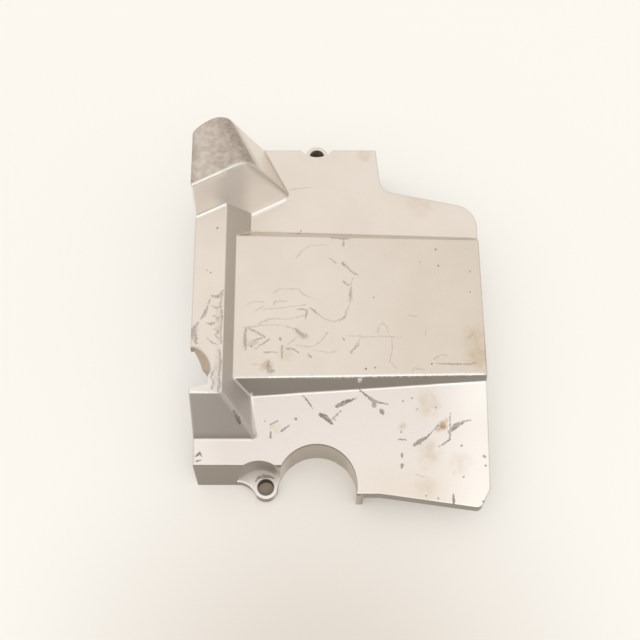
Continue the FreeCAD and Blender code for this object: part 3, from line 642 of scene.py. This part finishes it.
def painted_casting():
    """Satin silver paint over cast metal, with the scores, chips, stains and bare spots of a used cover."""
    material = bpy.data.materials.new("silver_paint_worn")
    finish = CoverFinish(material)
    bare, rubbed = finish.bare_spots(), finish.rubbed_marks()
    stain, rust = finish.stains(), finish.rust()
    edge_highlight, speck = finish.rubbed_and_highlit_edges(), finish.specks()
    boss_wear, shoulder = finish.boss_wear(), finish.boss_shoulder()
    broken, broken_rim = finish.broken_piece()
    boss_front = finish.boss_front()
    wall_shade = finish.painted_shade(boss_front, shoulder)
    raw = finish.raw_inside()

    colour = finish.paint_and_painted_light(boss_front)
    colour = finish.mixed(speck * SPECK_STRENGTH, colour, RUBBED)
    # Painted shade on walls and edges at the cover's foot.
    colour = finish.mixed(wall_shade, colour, PAINTED_SHADE_COLOUR)
    colour = finish.mixed(stain, colour, STAIN)
    colour = finish.mixed(rust, colour, RUST)
    # Edges rubbed bright, with painted highlights on them and on fillets.
    colour = finish.mixed(edge_highlight * EDGE_HIGHLIGHT_STRENGTH, colour, BRIGHT_METAL_AND_HIGHLIGHT)
    colour = finish.mixed(boss_wear, colour, RUBBED)
    colour = finish.mixed(rubbed, colour, SCORED)
    least, more = BREAK_STRENGTH
    colour = finish.mixed(broken * (least + finish.mottle * more).least(1.0), colour, BROKEN_METAL)
    colour = finish.mixed(broken_rim * BREAK_RIM_STRENGTH, colour, BRIGHT_METAL_AND_HIGHLIGHT)
    colour = finish.lighten_lug(colour)
    colour = finish.mixed(bare, colour, BARE)
    colour = finish.grimy_inside(colour, raw)

    dull = bare.most(rubbed).most(boss_wear).most(raw).most(stain).most(rust)
    dull = dull.most(broken * BREAK_DULLNESS).most(wall_shade * SHADE_DULLNESS)
    roughness = ROUGHNESS + finish.grain * GRAIN_ROUGHNESS + dull * DULL_ROUGHNESS
    metallic = METALLIC - dull * DULL_METALLIC
    height = finish.grain * GRAIN_HEIGHT + raw * finish.fleck * CASTING_HEIGHT
    sockets = {"Strength": BUMP_STRENGTH, "Distance": MM, "Height": height}
    bump = finish.add("ShaderNodeBump", {}, sockets)
    sockets = {"Base Color": colour, "Roughness": roughness, "Metallic": metallic, "Normal": bump}
    shader = finish.add("ShaderNodeBsdfPrincipled", {}, sockets)
    finish.add("ShaderNodeOutputMaterial", {}, {"Surface": shader})
    return material


def table_finish():
    """The pale table top, which glows a little where it is open, so that the shadow stays soft."""
    material = bpy.data.materials.new("pale_table")
    finish = Finish(material)
    place, = finish.coordinates("Object")
    cloud = finish.noise(place, *TABLE_CLOUDS)
    # A painted shadow at the cover's foot, with the table's faint clouds.
    shade = finish.vector("DISTANCE", place, TABLE_SHADE_PLACE, out="Value").step(TABLE_SHADE_REACH, 0.0)
    shade = shade * TABLE_SHADE_SHARE + cloud * TABLE_CLOUD_SHARE
    colour = finish.mixed(shade, TABLE_COLOUR, TABLE_SHADE)
    outside = finish.spots(place, HOLES_OVER_TABLE).step(*HOLE_FADE)
    # A painted brown shadow in the bolt holes.
    colour = finish.mixed(outside, TABLE_SHADOW_IN_HOLES, colour)
    top = finish.add("ShaderNodeBsdfPrincipled", {}, {"Base Color": colour, "Roughness": TABLE_ROUGHNESS})
    glow = finish.add("ShaderNodeEmission", {}, {"Color": colour, "Strength": 1.0})

    settings = {"samples": SHUT_IN_SAMPLES}
    open_share = finish.add("ShaderNodeAmbientOcclusion", settings, {"Distance": TABLE_SHUT_IN}, out="AO")
    path = finish.add("ShaderNodeLightPath").socket.node
    kinds = ("Camera", "Glossy", "Transmission")
    camera, glossy, transmission = (Value(finish, path.outputs[f"Is {kind} Ray"]) for kind in kinds)
    share = camera.most(glossy).most(transmission) * outside * open_share * TABLE_GLOW
    shader = finish.add("ShaderNodeMixShader", {}, {0: share, 1: top, 2: glow})
    finish.add("ShaderNodeOutputMaterial", {}, {"Surface": shader})
    return material


def lay_table():
    half = TABLE_SIZE / 2
    mesh = bpy.data.meshes.new("table_top")
    corners = [(-half, -half, 0.0), (half, -half, 0.0), (half, half, 0.0), (-half, half, 0.0)]
    mesh.from_pydata(corners, [], [(0, 1, 2, 3)])
    mesh.materials.append(table_finish())
    table = bpy.data.objects.new("table_top", mesh)
    bpy.context.scene.collection.objects.link(table)


def light_room():
    world = bpy.data.worlds.new("soft_room")
    bpy.context.scene.world = world
    finish = Finish(world)
    direction, = finish.coordinates("Generated")
    _, ahead, up = finish.parts(direction)
    low = up.step(*ROOM_LOW)
    strength = ROOM_HIGH - low * (ROOM_DIM + ahead.step(*ROOM_FOOT) * ROOM_FOOT_DIM)
    shader = finish.add("ShaderNodeBackground", {}, {"Color": ROOM_COLOUR, "Strength": strength})
    finish.add("ShaderNodeOutputWorld", {}, {"Surface": shader})

    data = bpy.data.lights.new("overhead_lamp", "AREA")
    data.size = LAMP_SIZE
    data.energy = LAMP_POWER
    data.color = LAMP_COLOUR
    lamp = bpy.data.objects.new("overhead_lamp", data)
    lamp.location = LAMP_PLACE
    lamp.rotation_euler = (CAMERA_AIM - LAMP_PLACE).to_track_quat("-Z", "Y").to_euler()
    bpy.context.scene.collection.objects.link(lamp)


def set_camera():
    data = bpy.data.cameras.new("camera")
    data.lens = CAMERA_LENS
    data.sensor_width = CAMERA_SENSOR
    camera = bpy.data.objects.new("camera", data)
    back = Vector((0.0, -math.cos(CAMERA_ELEVATION), math.sin(CAMERA_ELEVATION)))
    camera.location = CAMERA_AIM + back * CAMERA_DISTANCE
    camera.rotation_euler = (-back).to_track_quat("-Z", "Y").to_euler()
    bpy.context.scene.collection.objects.link(camera)
    bpy.context.scene.camera = camera


def dress_cover():
    cover.data.materials.clear()
    cover.data.materials.append(painted_casting())


dress_cover()
lay_table()
light_room()
set_camera()
bpy.context.scene.view_settings.view_transform = "Standard"
